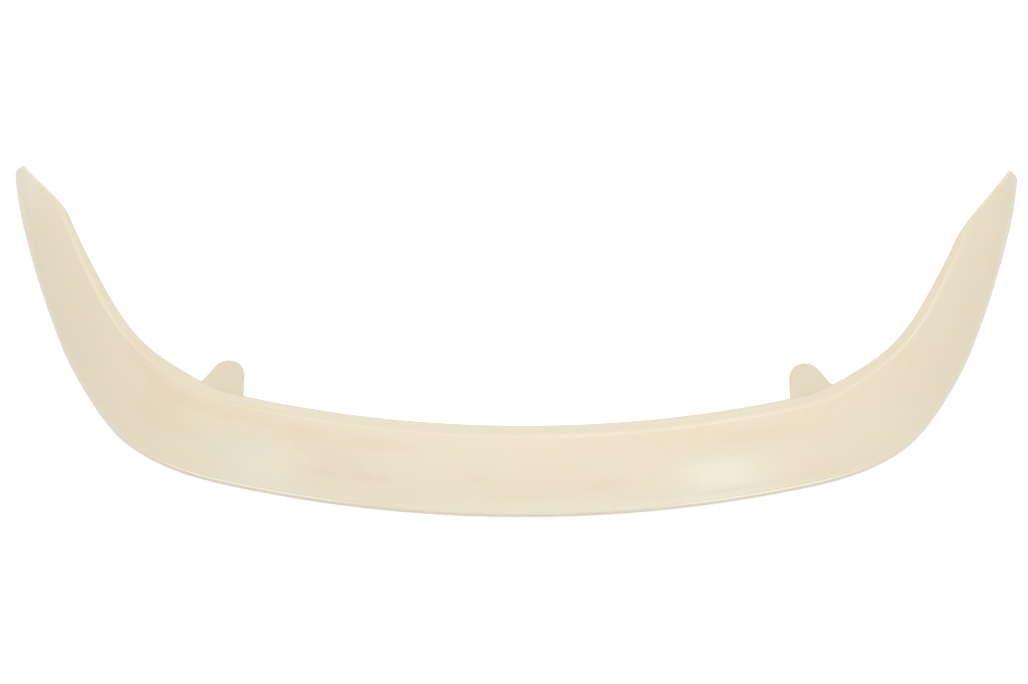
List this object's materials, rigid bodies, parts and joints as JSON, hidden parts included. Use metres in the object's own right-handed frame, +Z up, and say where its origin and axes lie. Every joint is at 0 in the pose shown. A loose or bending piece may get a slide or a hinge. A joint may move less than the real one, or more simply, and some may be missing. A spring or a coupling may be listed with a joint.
{
  "type": "front bumper lip",
  "caption": "Thin moulded front bumper lip that wraps from a bowed front round both corners into swept wings, with an upper flange and fixing tabs.",
  "frame": {"origin": "centre of the bounding box at the level of the underside, on the surface that the lip rests on", "axes": "+X across the car to the right of someone who looks at the nose from the front, -Y forwards, +Z up"},
  "size_m": [1.6268, 0.6178, 0.072],
  "materials": {
    "bumper_lip": "bare unpainted ivory moulding, satin, slightly translucent"
  },
  "bodies": {
    "root": {"bumper_lip": "bumper_lip"}
  },
  "joints": []
}
